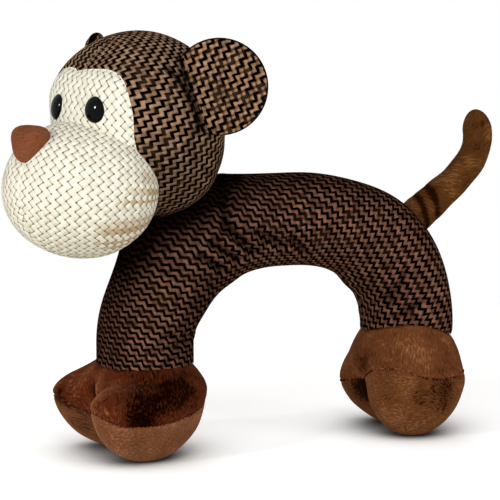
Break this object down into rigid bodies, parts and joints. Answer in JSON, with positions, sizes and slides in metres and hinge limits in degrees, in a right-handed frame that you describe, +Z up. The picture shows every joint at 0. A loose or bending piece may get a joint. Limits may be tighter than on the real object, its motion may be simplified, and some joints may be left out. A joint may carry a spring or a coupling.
{
  "type": "plush monkey dog toy",
  "caption": "Stuffed plush monkey dog toy standing on an arched woven body with plush feet, round head, folding ears, cream muzzle and a squeaker inside.",
  "frame": {"origin": "on the floor, under the middle of the toy's box", "axes": "+Z up, the toy looks along -X, its left side is -Y"},
  "size_m": [0.3086, 0.139, 0.237],
  "materials": {
    "brown_weave": "coarse zigzag weave in brown and near black",
    "body_weave": "fine zigzag weave in brown and near black",
    "cream_weave": "cream zigzag weave with thin tan lines",
    "foot_plush": "short dark brown plush",
    "sole_plush": "short tan brown plush",
    "tail_plush": "short brown plush",
    "nose_plush": "short brown plush",
    "fibre": "loose white stuffing fibre",
    "thread": "dark sewing thread",
    "eye_gloss": "glossy black",
    "washer_plastic": "plain white",
    "squeaker_plastic": "plain translucent white",
    "reed_film": "clear film"
  },
  "bodies": {
    "body": {"body_sleeve": "body_weave", "body_filling": "fibre", "front_foot_upper": "foot_plush", "front_foot_sole": "sole_plush", "front_foot_filling": "fibre", "rear_foot_upper": "foot_plush", "rear_foot_sole": "sole_plush", "rear_foot_filling": "fibre"},
    "neck": {"neck_thread": "thread"},
    "head": {"crown_left": "brown_weave", "crown_right": "brown_weave", "face_patch": "cream_weave", "muzzle_left": "cream_weave", "muzzle_right": "cream_weave", "head_filling": "fibre", "eye_left": "eye_gloss", "eye_right": "eye_gloss", "eye_washer_left": "washer_plastic", "eye_washer_right": "washer_plastic", "nose_cover": "nose_plush", "nose_filling": "fibre", "squeaker_bulb": "squeaker_plastic"},
    "ear_left": {"ear_left_front": "brown_weave", "ear_left_back": "brown_weave", "ear_left_wadding": "fibre"},
    "ear_right": {"ear_right_front": "brown_weave", "ear_right_back": "brown_weave", "ear_right_wadding": "fibre"},
    "tail": {"tail_cover": "tail_plush", "tail_filling": "fibre"},
    "squeaker_mouth": {"squeaker_plug": "squeaker_plastic", "squeaker_reed": "reed_film"}
  },
  "joints": [
    {"name": "head_nod", "type": "hinge", "parent": "body", "child": "neck", "pos_m": [-0.04924, -0.0083, 0.13878], "axis": [0, -1, 0], "range_deg": [-8, 8], "stiffness_Nm_per_rad": 3},
    {"name": "head_turn", "type": "hinge", "parent": "neck", "child": "head", "pos_m": [-0.04924, -0.0083, 0.13878], "axis": [-0.4502, 0, 0.893], "range_deg": [-38, 6], "stiffness_Nm_per_rad": 1.5},
    {"name": "ear_left_fold", "type": "hinge", "parent": "head", "child": "ear_left", "pos_m": [-0.05829, -0.05182, 0.20349], "axis": [-0.2725, 0.1271, 0.9537], "range_deg": [-25, 25], "stiffness_Nm_per_rad": 0.05},
    {"name": "ear_right_fold", "type": "hinge", "parent": "head", "child": "ear_right", "pos_m": [-0.08351, 0.03616, 0.20349], "axis": [0.1638, 0.2522, -0.9537], "range_deg": [-25, 25], "stiffness_Nm_per_rad": 0.05},
    {"name": "tail_wag", "type": "hinge", "parent": "body", "child": "tail", "pos_m": [0.10162, -0.0083, 0.12174], "axis": [0.6548, 0, -0.7558], "range_deg": [-35, 35], "stiffness_Nm_per_rad": 0.1},
    {"name": "squeaker_squeeze", "type": "slide", "parent": "head", "child": "squeaker_mouth", "axis": [0, 0, -1], "range_m": [0, 0.008], "stiffness_N_per_m": 300, "deforming": ["squeaker_bulb"]}
  ]
}
